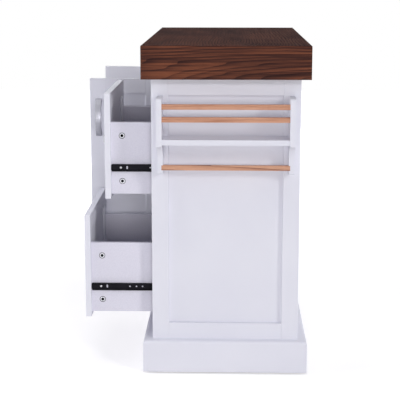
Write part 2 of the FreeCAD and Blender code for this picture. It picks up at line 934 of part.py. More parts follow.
def towel_bar(grow):
    front = body_end + rack_lower_reach
    return rack_bar(front - bar_depth, front, towel_bar_bottom, towel_bar_bottom + bar_height, grow)


def rack_screw_places():
    y = (rack_inner_width + rack_bracket_thickness) / 2
    return [(side * y, rack_top - drop) for side in (-1, 1) for drop in rack_screw_drops]


def rack_brackets():
    bars = spice_rails(bar_play) + [rack_shelf(bar_play), towel_bar(bar_play)]
    pilots = [
        rod(rack_screw_radius + pin_hole_play, Vector(body_end - overrun, y, z),
            Vector(1, 0, 0), rack_screw_bite + 2 * overrun)
        for y, z in rack_screw_places()
    ]
    brackets = []
    for y in (-rack_inner_width / 2 - rack_bracket_thickness, rack_inner_width / 2):
        board = Part.Face(bracket_outline(y)).extrude(Vector(0, rack_bracket_thickness, 0))
        brackets.append(board.cut(bars + pilots))
    return brackets


def rack_screw_holes():
    return [
        rod(rack_screw_radius + rack_screw_play, Vector(inner_end - overrun, y, z),
            Vector(1, 0, 0), frame_thickness + 2 * overrun)
        for y, z in rack_screw_places()
    ]


def rack_screws():
    screws = []
    for y, z in rack_screw_places():
        shank = rod(rack_screw_radius, Vector(inner_end, y, z), Vector(1, 0, 0),
                    frame_thickness + rack_screw_bite)
        head = rod(rack_screw_head_radius, Vector(inner_end - rack_screw_head, y, z),
                   Vector(1, 0, 0), rack_screw_head)
        screws.append(shank.fuse(head).removeSplitter())
    return screws


# Casters. Each is built round its own swivel axis at X = 0, Y = 0, with the wheel trailing
# towards -X, and then moved to its corner.

def caster_corners():
    return {
        "front_rack": (caster_x, -caster_y),
        "front_plain": (-caster_x, -caster_y),
        "back_rack": (caster_x, caster_y),
        "back_plain": (-caster_x, caster_y),
    }


def caster_plate():
    half = plate_size / 2
    up = Vector(0, 0, 1)
    plate = block(-half, half, -half, half, plate_bottom, plate_bottom + plate_thickness)
    place = half - plate_hole_inset
    holes = [
        rod(plate_hole_radius, Vector(x, y, plate_bottom - overrun), up, plate_thickness + 2 * overrun)
        for x in (-place, place) for y in (-place, place)
    ]
    plate = plate.cut(holes)
    race = rod(race_radius, Vector(0, 0, race_bottom), up, race_height)
    king = rod(king_radius, Vector(0, 0, king_bottom), up, race_bottom - king_bottom)
    rivet = rod(king_head_radius, Vector(0, 0, king_bottom - king_head), up, king_head)
    return plate.fuse([race, king, rivet]).removeSplitter()


def fork_leg(y_low):
    eye = Vector(-caster_offset, y_low, wheel_radius)
    front_foot = eye + Vector(-fork_eye_radius, 0, 0)
    back_foot = eye + Vector(fork_eye_radius, 0, 0)
    outline = Part.Wire([
        Part.makeLine(Vector(fork_leg_half_width, y_low, crown_top),
                      Vector(-fork_leg_half_width, y_low, crown_top)),
        Part.makeLine(Vector(-fork_leg_half_width, y_low, crown_top), front_foot),
        Part.Arc(front_foot, eye + Vector(0, 0, -fork_eye_radius), back_foot).toShape(),
        Part.makeLine(back_foot, Vector(fork_leg_half_width, y_low, crown_top)),
    ])
    return Part.Face(outline).extrude(Vector(0, fork_sheet, 0))


def caster_fork():
    up = Vector(0, 0, 1)
    crown = rod(fork_crown_radius, Vector(0, 0, crown_bottom), up, fork_sheet)
    legs = [fork_leg(fork_inside), fork_leg(-fork_inside - fork_sheet)]
    fork = crown.fuse(legs).removeSplitter()
    swivel_bore = rod(king_radius + king_play, Vector(0, 0, crown_bottom - overrun), up,
                      fork_sheet + 2 * overrun)
    axle_length = 2 * (fork_inside + fork_sheet)
    axle_start = Vector(-caster_offset, -fork_inside - fork_sheet, wheel_radius)
    across = Vector(0, 1, 0)
    axle_bore = rod(axle_radius + axle_play, axle_start - across * overrun, across,
                    axle_length + 2 * overrun)
    fork = fork.cut([swivel_bore, axle_bore])
    shank = rod(axle_radius, axle_start, across, axle_length)
    heads = [
        rod(axle_head_radius, axle_start - across * axle_head, across, axle_head),
        rod(axle_head_radius, axle_start + across * axle_length, across, axle_head),
    ]
    return [fork, shank.fuse(heads).removeSplitter()]


def caster_wheel():
    bore = axle_radius + axle_play
    hub = wheel_hub_width / 2
    web = wheel_web_width / 2
    tread = wheel_width / 2
    rim_inside = wheel_radius - wheel_rim_width
    soft = wheel_edge_radius
    half = [
        (hub, bore),
        (hub, wheel_hub_radius),
        (web, wheel_hub_radius),
        (web, rim_inside),
        (tread, rim_inside),
        (tread, wheel_radius - soft),
        (tread - soft, wheel_radius),
    ]
    outline = half + [(-y, r) for y, r in reversed(half)]
    face = polygon([Vector(0, y, r) for y, r in outline])
    wheel = face.revolve(Vector(0, 0, 0), Vector(0, 1, 0), 360)
    return moved(wheel, -caster_offset, 0, wheel_radius)


# Collect the solids of every node.

def drawer_nodes(name, opening_bottom, out):
    parts = {
        "front": drawer_front(opening_bottom),
        "sides": drawer_sides(opening_bottom),
        "back": [drawer_back(opening_bottom)],
        "bottom": [drawer_bottom(opening_bottom)],
        "pull": [drawer_pull(opening_bottom)],
        "cam_locks": cam_locks(opening_bottom),
        "runners": drawer_runners(opening_bottom),
    }
    nodes = {}
    for part, solids in parts.items():
        nodes[name + "_drawer_" + part] = [moved(solid, 0, -out, 0) for solid in solids]
    cages = [moved(solid, 0, -out / 2, 0) for solid in ball_cages(opening_bottom)]
    nodes[name + "_ball_cages"] = cages
    return nodes


def door_nodes(name, pivot_x, side, angle):
    stiles, rails, panel = door_leaf_parts(pivot_x, side)
    parts = {
        "stiles": stiles,
        "rails": rails,
        "panel": panel,
        "pull": [door_pull(pivot_x, side)],
        "hinge_leaves": door_hinges(pivot_x, side),
    }
    nodes = {}
    for part, solids in parts.items():
        opened = [turned(solid, pivot_x, pivot_y, -side * angle) for solid in solids]
        nodes[name + "_door_" + part] = opened
    return nodes


def end_frame_nodes(name, place, cuts):
    stiles, rails, panel = end_frame()
    placed = [place(stile) for stile in stiles]
    return {
        name + "_end_stiles": [stile.cut(cuts) for stile in placed],
        name + "_end_rails": [place(rail) for rail in rails],
        name + "_end_panel": [place(board) for board in panel],
    }


def caster_nodes():
    nodes = {}
    plates = []
    for corner, (x, y) in caster_corners().items():
        plates.append(moved(caster_plate(), x, y, 0))
        nodes["caster_fork_" + corner] = [moved(solid, x, y, 0) for solid in caster_fork()]
        nodes["caster_wheel_" + corner] = [moved(caster_wheel(), x, y, 0)]
    nodes["caster_plates"] = plates
    return nodes


def all_nodes():
    panel, boards = worktop()
    nodes = {
        "worktop_panel": panel,
        "worktop_edges": boards,
        "worktop_battens": worktop_battens(),
        "plinth_frame": plinth_frame(),
        "front_rails": front_rails(),
        "drawer_divider_rail": [drawer_divider_rail()],
        "centre_partition": [centre_partition()],
        "back_panel": [back_panel()],
        "cabinet_floor": [cabinet_floor()],
        "cupboard_shelf": [cupboard_shelf()],
        "shelf_pins": shelf_pins(),
        "cabinet_runners": cabinet_runners(),
        "hinge_frame_leaves": frame_hinges(inner_pivot_x, -1) + frame_hinges(outer_pivot_x, 1),
        "door_catch": [door_catch()],
        "rack_brackets": rack_brackets(),
        "spice_rails": spice_rails(0),
        "rack_shelf": [rack_shelf(0)],
        "towel_bar": [towel_bar(0)],
        "rack_screws": rack_screws(),
    }
    nodes.update(end_frame_nodes("rack", at_rack_end, rack_screw_holes()))
    nodes.update(end_frame_nodes("plain", at_plain_end, shelf_holes(-inner_end, -1)))
    nodes.update(drawer_nodes("upper", upper_opening_bottom, upper_drawer_out))
    nodes.update(drawer_nodes("lower", door_opening_bottom, lower_drawer_out))
    nodes.update(door_nodes("inner", inner_pivot_x, -1, inner_door_angle))
    nodes.update(door_nodes("outer", outer_pivot_x, 1, outer_door_angle))
    nodes.update(caster_nodes())
    return nodes


def main():
    nodes = all_nodes()
    everything = Part.makeCompound([solid for solids in nodes.values() for solid in solids])
    centre = everything.BoundBox.Center
    os.makedirs("parts", exist_ok=True)
    for name, solids in nodes.items():
        placed = [moved(solid, -centre.x, -centre.y, 0) for solid in solids]
        shape = placed[0] if len(placed) == 1 else Part.makeCompound(placed)
        shape.exportStep("parts/" + name + ".step")
    print("nodes", len(nodes), "origin in cabinet X and Y", round(centre.x, 4), round(centre.y, 4))


main()
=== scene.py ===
import json
import math

import bmesh
import bpy
import numpy as np
from mathutils import Matrix, Vector


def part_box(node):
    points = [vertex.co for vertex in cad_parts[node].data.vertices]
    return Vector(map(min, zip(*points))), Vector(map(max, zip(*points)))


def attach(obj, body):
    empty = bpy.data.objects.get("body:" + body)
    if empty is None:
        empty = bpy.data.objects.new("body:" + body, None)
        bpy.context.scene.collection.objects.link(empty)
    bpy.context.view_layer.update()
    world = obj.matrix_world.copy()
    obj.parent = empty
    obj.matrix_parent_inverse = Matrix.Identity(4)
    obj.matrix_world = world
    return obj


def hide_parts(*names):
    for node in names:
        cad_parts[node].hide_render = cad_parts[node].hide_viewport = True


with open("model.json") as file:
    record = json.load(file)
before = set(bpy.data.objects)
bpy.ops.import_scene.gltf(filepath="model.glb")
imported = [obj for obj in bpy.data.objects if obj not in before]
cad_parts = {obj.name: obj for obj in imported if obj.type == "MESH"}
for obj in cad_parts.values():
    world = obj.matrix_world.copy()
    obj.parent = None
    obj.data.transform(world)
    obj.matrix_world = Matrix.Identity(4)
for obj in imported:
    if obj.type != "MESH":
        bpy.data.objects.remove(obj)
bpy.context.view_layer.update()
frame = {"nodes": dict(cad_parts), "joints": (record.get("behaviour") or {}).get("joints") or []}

print("stage: frame loaded,", len(frame["nodes"]), "nodes")


def screenColour(red, green, blue):
    # The linear light of a colour that a screen shows with these shares of 255.
    shares = np.array([red, green, blue]) / 255
    linear = np.where(shares < 0.04045, shares / 12.92, ((shares + 0.055) / 1.055) ** 2.4)
    return (*(float(part) for part in linear), 1.0)


# Shader building: a Value is one output socket, and arithmetic on it adds Math nodes.


class Value:
    def __init__(self, recipe, socket):
        self.recipe = recipe
        self.socket = socket

    def math(self, operation, *others):
        values = dict(enumerate([self, *others]))
        return self.recipe.add("ShaderNodeMath", {"operation": operation}, values)

    def reflected(self, operation, other):
        return self.recipe.add("ShaderNodeMath", {"operation": operation}, {0: other, 1: self})

    def __add__(self, other):
        return self.math("ADD", other)

    def __radd__(self, other):
        return self.math("ADD", other)

    def __sub__(self, other):
        return self.math("SUBTRACT", other)

    def __rsub__(self, other):
        return self.reflected("SUBTRACT", other)

    def __mul__(self, other):
        return self.math("MULTIPLY", other)

    def __rmul__(self, other):
        return self.math("MULTIPLY", other)

    def __pow__(self, other):
        return self.math("POWER", other)

    def __abs__(self):
        return self.math("ABSOLUTE")


class Recipe:
    # The node tree of one material or world. Settings are set first, then the sockets.
    def __init__(self, owner):
        owner.use_nodes = True
        self.owner = owner
        self.tree = owner.node_tree
        self.tree.nodes.clear()

    def add(self, kind, settings=None, values=None, output=0):
        node = self.tree.nodes.new(kind)
        for name, setting in (settings or {}).items():
            if name == "stops":
                self.setStops(node, setting)
            else:
                setattr(node, name, setting)
        for name, value in (values or {}).items():
            if isinstance(value, Value):
                self.tree.links.new(value.socket, node.inputs[name])
            else:
                node.inputs[name].default_value = value
        return Value(self, node.outputs[output]) if len(node.outputs) else node

    def setStops(self, node, stops):
        ramp = node.color_ramp
        while len(ramp.elements) < len(stops):
            ramp.elements.new(0.5)
        for element, (place, colour) in zip(ramp.elements, stops):
            element.position = place
            element.color = colour

    def place(self):
        # The three coordinates of a point, in metres, in the frame that all pieces share.
        spot = self.add("ShaderNodeTexCoord", output=3)
        return [self.add("ShaderNodeSeparateXYZ", None, {0: spot}, output=axis) for axis in range(3)]

    def noise(self, x, y, z, scale, detail, roughness=0.5):
        spot = self.add("ShaderNodeCombineXYZ", None, {0: x, 1: y, 2: z})
        return self.add("ShaderNodeTexNoise", None, {
            "Vector": spot, "Scale": scale, "Detail": detail, "Roughness": roughness,
        })

    def spread(self, value, low, high, lowest=0.0, highest=1.0):
        return self.add("ShaderNodeMapRange", None, {
            "Value": value, "From Min": low, "From Max": high, "To Min": lowest, "To Max": highest,
        })

    def blend(self, share, first, second):
        return self.add("ShaderNodeMix", {"data_type": "RGBA"}, {0: share, 6: first, 7: second}, output=2)

    def bump(self, height, distance, **below):
        # Below may name a Normal, that of the bump which this one lies on.
        return self.add("ShaderNodeBump", None, {"Height": height, "Distance": distance, **below})

    def finish(self, shader):
        isWorld = isinstance(self.owner, bpy.types.World)
        kind = "ShaderNodeOutputWorld" if isWorld else "ShaderNodeOutputMaterial"
        self.add(kind, None, {"Surface": shader})
        return self.owner


def newRecipe(name):
    return Recipe(bpy.data.materials.new(name))


def stretched(spot, axis, share):
    # Coordinates in which noise is drawn out along one axis, or along none.
    return [part * share if number == axis else part for number, part in enumerate(spot)]


# Finishes. Noise keeps to the middle of 0 to 1, so a spread of it starts from one of these spans.

noiseCore = (0.35, 0.65)
noiseReach = (0.3, 0.7)

lacquerLook = {
    "colour": screenColour(229, 229, 237),
    "shade": screenColour(226, 226, 235),
    "cloudScale": 5.0,
    "fibreScale": 480.0,
    "fibreStretch": 0.06,
    "peelScale": 700.0,
    "roughness": (0.30, 0.42),
    "coat": 0.12,
    "coatRoughness": 0.3,
    "fibreHeight": 0.00006,
    "peelHeight": 0.00002,
}


def lacquer(name, grainAxis, look=lacquerLook):
    # White lacquer on wood. The fibres run along one axis and show faintly through the paint.
    recipe = newRecipe(name)
    spot = recipe.place()
    lines = stretched(spot, grainAxis, look["fibreStretch"])
    cloud = recipe.noise(*spot, look["cloudScale"], detail=3)
    fibre = recipe.noise(*lines, look["fibreScale"], detail=3, roughness=0.6)
    peel = recipe.noise(*spot, look["peelScale"], detail=1)
    fibreBump = recipe.bump(fibre, look["fibreHeight"])
    shader = recipe.add("ShaderNodeBsdfPrincipled", None, {
        "Base Color": recipe.blend(recipe.spread(cloud, *noiseCore), look["colour"], look["shade"]),
        "Roughness": recipe.spread(cloud * 0.6 + fibre * 0.4, *noiseReach, *look["roughness"]),
        "Specular IOR Level": 0.0,
        "Coat Weight": look["coat"],
        "Coat Roughness": look["coatRoughness"],
        "Normal": recipe.bump(peel, look["peelHeight"], Normal=fibreBump),
    })
    return recipe.finish(shader)


woodLook = {
    "bendLength": 0.45,
    "ringPower": 3.0,
    "poreLength": 0.03,
    "poreSpread": (0.42, 0.75),
    "poreShade": 0.35,
    "toneHeight": 0.4,
    "coatRoughness": 0.25,
}

walnutLook = {
    **woodLook,
    "dark": screenColour(36, 23, 24),
    "middle": screenColour(73, 45, 39),
    "light": screenColour(129, 77, 56),
    "ringsPerMetre": 120.0,
    "ringShare": 0.4,
    "pith": (0.030, -0.040),
    "drift": (0.10, 0.0),
    "bendScale": 9.0,
    "bend": 0.024,
    "patchScale": 26.0,
    "patchLength": 0.1,
    "patch": 1.0,
    "ringDrift": 4.0,
    "streakLength": 0.008,
    "streakScale": 330.0,
    "streakSpread": (0.34, 0.66),
    "poreScale": 900.0,
    "roughness": (0.5, 0.65),
    "specular": 0.0,
    "coat": 0.015,
    "poreHeight": 0.00012,
}

# The top keeps its own grain. Its greyer, darker colours than the edges' are painted sheen and painted
# shade, standing in for the grazing white sheen and the dimmer light on the top.
walnutTopPaintedSheenLook = {
    **walnutLook,
    "middle": screenColour(66, 44, 42),
    "light": screenColour(99, 65, 54),
    "pith": (0.030, 0.085),
    "drift": (0.02, 0.14),
    "patchScale": 10.0,
    "patchLength": 0.35,
    "ringShare": 0.5,
    "streakSpread": (0.25, 0.75),
    "coat": 0.008,
}

naturalLook = {
    **woodLook,
    "dark": screenColour(150, 92, 66),
    "middle": screenColour(200, 147, 119),
    "light": screenColour(216, 165, 135),
    "ringsPerMetre": 110.0,
    "ringShare": 0.08,
    "pith": (0.30, 0.02),
    "drift": (0.03, 0.0),
    "bendScale": 15.0,
    "bend": 0.004,
    "patchScale": 20.0,
    "patchLength": 0.1,
    "patch": 0.0,
    "ringDrift": 0.0,
    "streakLength": 0.02,
    "streakScale": 300.0,
    "streakSpread": (0.3, 0.7),
    "poreScale": 1200.0,
    "roughness": (0.45, 0.6),
    "specular": 0.25,
    "coat": 0.0,
    "poreHeight": 0.00008,
}

towelBarLook = {
    **naturalLook,
    "dark": screenColour(104, 56, 38),
    "middle": screenColour(196, 144, 116),
    "ringsPerMetre": 62.0,
    "ringShare": 0.75,
    "pith": (0.0, -0.302),
    "drift": (0.0, 0.05),
}

battenLook = {
    **naturalLook,
    "dark": screenColour(165, 126, 84),
    "middle": screenColour(206, 172, 128),
    "light": screenColour(224, 196, 156),
    "ringsPerMetre": 160.0,
    "ringShare": 0.4,
    "pith": (0.05, 0.05),
    "roughness": (0.6, 0.75),
}


def woodFigure(recipe, along, across, up, look):
    # Year rings: the distance from a pith that runs along the fibres and drifts, bent by noise.
    # Their sawtooth gives soft early wood that ends in a dark line, and stretched noise gives
    # streaks and pores. Broad patches vary the tone and the width of the rings.
    def drawnOut(name, detail, roughness):
        return recipe.noise(along * look[name + "Length"], across, up, look[name + "Scale"],
                            detail, roughness)

    bend = (drawnOut("bend", detail=2, roughness=0.45) - 0.5) * look["bend"]
    sideways = across - look["pith"][0] + along * look["drift"][0] + bend
    upwards = up - look["pith"][1] + along * look["drift"][1] + bend
    radius = (sideways * sideways + upwards * upwards) ** 0.5
    patch = drawnOut("patch", detail=2, roughness=0.5) - 0.5
    rings = (radius * look["ringsPerMetre"] + patch * look["ringDrift"]).math("FRACT")
    ringLine = rings ** look["ringPower"]
    streak = recipe.spread(drawnOut("streak", detail=3, roughness=0.65), *look["streakSpread"])
    pores = recipe.spread(drawnOut("pore", detail=2, roughness=0.6), *look["poreSpread"])
    share = look["ringShare"]
    tone = streak * (1 - share) + (1 - ringLine) * share + patch * look["patch"]
    return tone, pores


def woodShader(recipe, tone, pores, look):
    colour = recipe.add("ShaderNodeValToRGB", {"stops": [
        (0.0, look["dark"]), (0.5, look["middle"]), (1.0, look["light"]),
    ]}, {0: tone})
    return recipe.add("ShaderNodeBsdfPrincipled", None, {
        "Base Color": recipe.blend(pores * look["poreShade"], colour, look["dark"]),
        "Roughness": recipe.spread(tone, 0.0, 1.0, *reversed(look["roughness"])),
        "Specular IOR Level": look["specular"],
        "Coat Weight": look["coat"],
        "Coat Roughness": look["coatRoughness"],
        "Normal": recipe.bump(tone * look["toneHeight"] - pores, look["poreHeight"]),
    })


def wood(name, grainAxis, centre, look):
    # Wood whose fibres run along one axis. The pith is set from the middle of the piece.
    recipe = newRecipe(name)
    spot = [part - middle for part, middle in zip(recipe.place(), centre)]
    along = spot.pop(grainAxis)
    tone, pores = woodFigure(recipe, along, *spot, look)
    return recipe.finish(woodShader(recipe, tone, pores, look))


def foldedWood(name, centre, half, look):
    # The edge boards meet in mitres: beyond the diagonal of a corner the fibres turn with the board.
    recipe = newRecipe(name)
    x, y, z = [part - middle for part, middle in zip(recipe.place(), centre)]
    atEnd = (abs(x) - abs(y)).math("GREATER_THAN", half[0] - half[1])
    along = y * atEnd + x * (1 - atEnd)
    across = (abs(x) - half[0]) * atEnd + (abs(y) - half[1]) * (1 - atEnd)
    tone, pores = woodFigure(recipe, along, across, z, look)
    return recipe.finish(woodShader(recipe, tone, pores, look))


boardLook = {
    "colour": screenColour(227, 225, 236),
    "fleck": screenColour(218, 216, 228),
    "fleckScale": 420.0,
    "cloudScale": 4.0,
    "spread": (0.38, 0.62),
    "roughness": (0.45, 0.6),
    "coat": 0.12,
    "coatRoughness": 0.35,
    "height": 0.00003,
}


def drawerBoard(name, look=boardLook):
    # White foil on board, with a fine even fleck and a faint pebble in the surface.
    recipe = newRecipe(name)
    spot = recipe.place()
    fleck = recipe.noise(*spot, look["fleckScale"], detail=3, roughness=0.6)
    cloud = recipe.noise(*spot, look["cloudScale"], detail=2)
    share = recipe.spread(fleck * 0.7 + cloud * 0.3, *look["spread"])
    shader = recipe.add("ShaderNodeBsdfPrincipled", None, {
        "Base Color": recipe.blend(share, look["colour"], look["fleck"]),
        "Roughness": recipe.spread(fleck, *noiseReach, *look["roughness"]),
        "Specular IOR Level": 0.0,
        "Coat Weight": look["coat"],
        "Coat Roughness": look["coatRoughness"],
        "Normal": recipe.bump(fleck, look["height"]),
    })
    return recipe.finish(shader)


metalBase = {"brushStretch": 0.02, "cloudScale": 30.0, "specular": 0.5}

metalLooks = {
    "slideSteel": {
        "colour": screenColour(22, 21, 26), "worn": screenColour(36, 35, 41), "metallic": 0.0,
        "roughness": (0.42, 0.6), "brush": 1, "brushScale": 500.0, "height": 0.00002,
        "specular": 0.05,
    },
    "brightSteel": {
        "colour": screenColour(214, 214, 216), "worn": screenColour(180, 180, 184), "metallic": 1.0,
        "roughness": (0.18, 0.34), "brush": None, "brushScale": 300.0, "height": 0.00002,
    },
    "satinNickel": {
        "colour": screenColour(170, 170, 180), "worn": screenColour(150, 150, 158), "metallic": 1.0,
        "roughness": (0.36, 0.48), "brush": 2, "brushScale": 900.0, "height": 0.00002,
    },
    "camMetal": {
        "colour": screenColour(168, 168, 174), "worn": screenColour(120, 120, 128), "metallic": 0.9,
        "roughness": (0.38, 0.55), "brush": None, "brushScale": 600.0, "height": 0.00006,
    },
    "casterSteel": {
        "colour": screenColour(196, 198, 200), "worn": screenColour(160, 164, 168), "metallic": 1.0,
        "roughness": (0.25, 0.42), "brush": None, "brushScale": 160.0, "height": 0.00003,
    },
    "screwSteel": {
        "colour": screenColour(226, 226, 230), "worn": screenColour(184, 184, 190), "metallic": 0.8,
        "roughness": (0.3, 0.45), "brush": None, "brushScale": 900.0, "height": 0.00001,
    },
}


def metal(name, look):
    # Brushed or plated metal: fine noise, stretched along the brushing, varies colour and gloss.
    look = {**metalBase, **look}
    recipe = newRecipe(name)
    spot = recipe.place()
    lines = stretched(spot, look["brush"], look["brushStretch"])
    fine = recipe.noise(*lines, look["brushScale"], detail=3, roughness=0.6)
    cloud = recipe.noise(*spot, look["cloudScale"], detail=3)
    share = recipe.spread(fine * 0.5 + cloud * 0.5, *noiseCore)
    shader = recipe.add("ShaderNodeBsdfPrincipled", None, {
        "Base Color": recipe.blend(share, look["colour"], look["worn"]),
        "Metallic": look["metallic"],
        "Specular IOR Level": look["specular"],
        "Roughness": recipe.spread(share, 0.0, 1.0, *look["roughness"]),
        "Normal": recipe.bump(fine, look["height"]),
    })
    return recipe.finish(shader)


plasticLook = {
    "colour": screenColour(222, 222, 224),
    "shade": screenColour(210, 210, 214),
    "grainScale": 900.0,
    "cloudScale": 20.0,
    "roughness": (0.4, 0.55),
    "height": 0.00004,
}


def plastic(name, look=plasticLook):
    # Moulded plastic with a fine spark-eroded grain.
    recipe = newRecipe(name)
    spot = recipe.place()
    grain = recipe.noise(*spot, look["grainScale"], detail=2)
    cloud = recipe.noise(*spot, look["cloudScale"], detail=2)
    shader = recipe.add("ShaderNodeBsdfPrincipled", None, {
        "Base Color": recipe.blend(recipe.spread(cloud, *noiseCore), look["colour"], look["shade"]),
        "Roughness": recipe.spread(grain, *noiseReach, *look["roughness"]),
        "Normal": recipe.bump(grain, look["height"]),
    })
    return recipe.finish(shader)


wheelLook = {
    "tread": screenColour(72, 72, 76),
    "scuffed": screenColour(104, 102, 100),
    "hub": screenColour(178, 180, 184),
    "treadStart": 0.0215,
    "scuffScale": 260.0,
    "scuffSpread": (0.45, 0.7),
    "roughness": (0.42, 0.85),
    "height": 0.00012,
}


def wheelFinish(name, axle, look=wheelLook):
    # Grey rubber outside the rim and lighter plastic inside it, told apart by the distance
    # from the axle. The tread is scuffed dull.
    recipe = newRecipe(name)
    spot = recipe.place()
    away = spot[0] - axle[0]
    above = spot[2] - axle[2]
    radius = (away * away + above * above) ** 0.5
    tread = radius.math("GREATER_THAN", look["treadStart"])
    scuff = recipe.noise(*spot, look["scuffScale"], detail=4, roughness=0.6)
    rubber = recipe.blend(recipe.spread(scuff, *look["scuffSpread"]), look["tread"], look["scuffed"])
    shader = recipe.add("ShaderNodeBsdfPrincipled", None, {
        "Base Color": recipe.blend(tread, look["hub"], rubber),
        "Roughness": recipe.spread(scuff * tread, 0.0, 0.6, *look["roughness"]),
        "Normal": recipe.bump(scuff * tread, look["height"]),
    })
    return recipe.finish(shader)


def middleOf(node):
    low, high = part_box(node)
    return (low + high) / 2


def dress(node, material):
    # A node keeps its mesh and gets one finish.
    slots = frame["nodes"][node].data.materials
    slots.clear()
    slots.append(material)


lacquers = [lacquer("whiteLacquer" + axis, number) for number, axis in enumerate("XYZ")]
metals = {name: metal(name, look) for name, look in metalLooks.items()}
boardFinish = drawerBoard("drawerBoard")
catchFinish = plastic("catchPlastic")
topMiddle = middleOf("worktop_edges")
topLow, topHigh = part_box("worktop_edges")
topHalf = (topHigh - topLow) / 2

uprightNodes = ["centre_partition", "back_panel", "rack_brackets", "rack_end_stiles", "rack_end_panel",
                "plain_end_stiles", "plain_end_panel", "inner_door_stiles", "inner_door_panel",
                "outer_door_stiles", "outer_door_panel"]
lengthwiseNodes = ["plinth_frame", "front_rails", "drawer_divider_rail", "cabinet_floor", "cupboard_shelf",
                   "upper_drawer_front", "lower_drawer_front"]
crosswiseNodes = ["rack_shelf", "rack_end_rails", "plain_end_rails", "inner_door_rails", "outer_door_rails"]
for nodes, finish in zip((lengthwiseNodes, crosswiseNodes, uprightNodes), lacquers):
    for node in nodes:
        dress(node, finish)

dress("worktop_panel", wood("walnutPanel", 0, topMiddle, walnutTopPaintedSheenLook))
dress("worktop_edges", foldedWood("walnutEdges", topMiddle, topHalf, walnutLook))
dress("worktop_battens", wood("battenWood", 0, topMiddle, battenLook))
for node, look in (("spice_rails", naturalLook), ("towel_bar", towelBarLook)):
    dress(node, wood("naturalWood_" + node, 1, middleOf(node), look))
for drawer in ("upper_drawer", "lower_drawer"):
    for part in ("sides", "back", "bottom"):
        dress(drawer + "_" + part, boardFinish)
    dress(drawer + "_runners", metals["slideSteel"])
    dress(drawer + "_cam_locks", metals["camMetal"])
    dress(drawer + "_pull", metals["satinNickel"])
for door in ("inner_door", "outer_door"):
    dress(door + "_hinge_leaves", metals["satinNickel"])
    dress(door + "_pull", metals["satinNickel"])
dress("hinge_frame_leaves", metals["satinNickel"])
dress("cabinet_runners", metals["slideSteel"])
for node in ("upper_ball_cages", "lower_ball_cages", "shelf_pins", "rack_screws"):
    dress(node, metals["brightSteel"])
dress("door_catch", catchFinish)
dress("caster_plates", metals["casterSteel"])
for corner in ("front_rack", "front_plain", "back_rack", "back_plain"):
    dress("caster_fork_" + corner, metals["casterSteel"])
    wheel = "caster_wheel_" + corner
    dress(wheel, wheelFinish("casterWheel_" + corner, middleOf(wheel)))
print("stage: finishes on all nodes")


# New pieces are grids of points: a surface is worked out for whole arrays of two parameters.


def gridQuads(rows, columns):
    # The four-sided faces of a grid whose columns close round.
    row, column = np.meshgrid(np.arange(rows - 1), np.arange(columns), indexing="ij")
    beside = (column + 1) % columns
    corners = (row * columns + column, row * columns + beside,
               (row + 1) * columns + beside, (row + 1) * columns + column)
    return np.stack(corners, -1).reshape(-1, 4)


def manyCopies(points, quads, frames):
    # The same shape set at each frame, a matrix whose last column is the place.
    frames = np.array([np.array(each) for each in frames])
    placed = np.einsum("kij,nj->kni", frames[:, :3, :3], points) + frames[:, None, :3, 3]
    steps = np.arange(len(frames))[:, None, None] * len(points)
    return placed.reshape(-1, 3), (quads[None] + steps).reshape(-1, 4)


pieceNumbers = {"weld": 1e-7, "sharpAngle": 35.0}


def addPiece(name, points, quads, body, finish, uv=None):
    mesh = bpy.data.meshes.new(name)
    mesh.from_pydata(points.tolist(), [], quads.tolist())
    if uv is not None:
        layer = mesh.uv_layers.new(name="UVMap")
        layer.data.foreach_set("uv", uv[quads.ravel()].astype(np.float32).ravel())
    shell = bmesh.new()
    shell.from_mesh(mesh)
    bmesh.ops.remove_doubles(shell, verts=shell.verts, dist=pieceNumbers["weld"])
    bmesh.ops.recalc_face_normals(shell, faces=shell.faces)
    shell.to_mesh(mesh)
    shell.free()
    mesh.polygons.foreach_set("use_smooth", np.ones(len(mesh.polygons), bool))
    mesh.set_sharp_from_angle(angle=math.radians(pieceNumbers["sharpAngle"]))
    mesh.materials.append(finish)
    piece = bpy.data.objects.new(name, mesh)
    bpy.context.scene.collection.objects.link(piece)
    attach(piece, body)
    return piece


def frameAt(spot, side, outward):
    # A frame at a spot, given its first axis and its third.
    axes = Matrix((side, outward.cross(side), outward)).transposed().to_4x4()
    axes.translation = spot
    return axes


def outwardFrame(spot, outward, upward=(0, 0, 1)):
    # A frame at a spot whose third axis points outwards. Outward and upward stand square.
    outward = Vector(outward)
    return frameAt(spot, Vector(upward).cross(outward), outward)


def jointSpec(name):
    return next(each for each in frame["joints"] if each["name"] == name)


def shutTurn(joint):
    # The turn from a shut door to the open door of the photograph, about the hinge.
    spec = jointSpec(joint)
    pivot = Matrix.Translation(Vector(spec["pos_m"]))
    turn = Matrix.Rotation(math.radians(-spec["range_deg"][0]), 4, Vector(spec["axis"]))
    return pivot @ turn @ pivot.inverted()


def nodeBox(node, turn=None):
    # The box of a node, measured with its door shut where it has a turn.
    mesh = frame["nodes"][node].data
    points = np.zeros(len(mesh.vertices) * 3)
    mesh.vertices.foreach_get("co", points)
    points = points.reshape(-1, 3)
    if turn is not None:
        back = np.array(turn.inverted())
        points = points @ back[:3, :3].T + back[:3, 3]
    return Vector(points.min(0)), Vector(points.max(0))


# Arched pulls.

pullLook = {
    "strip": 0.003,
    "foot": 0.013,
    "edgeRadius": 0.0008,
    "stations": 72,
    "cornerSteps": 5,
    "screwInset": 0.0065,
    "frontThickness": {"drawer": 0.006, "door": 0.016},
}


def archHeight(along, half, top, foot=0.0):
    # A circular arc over a chord: its radius is (half squared + rise squared) / (2 rise).
    rise = top - foot
    radius = (half ** 2 + rise ** 2) / (2 * rise)
    return foot + np.sqrt(np.maximum(radius ** 2 - along ** 2, 0)) - (radius - rise)


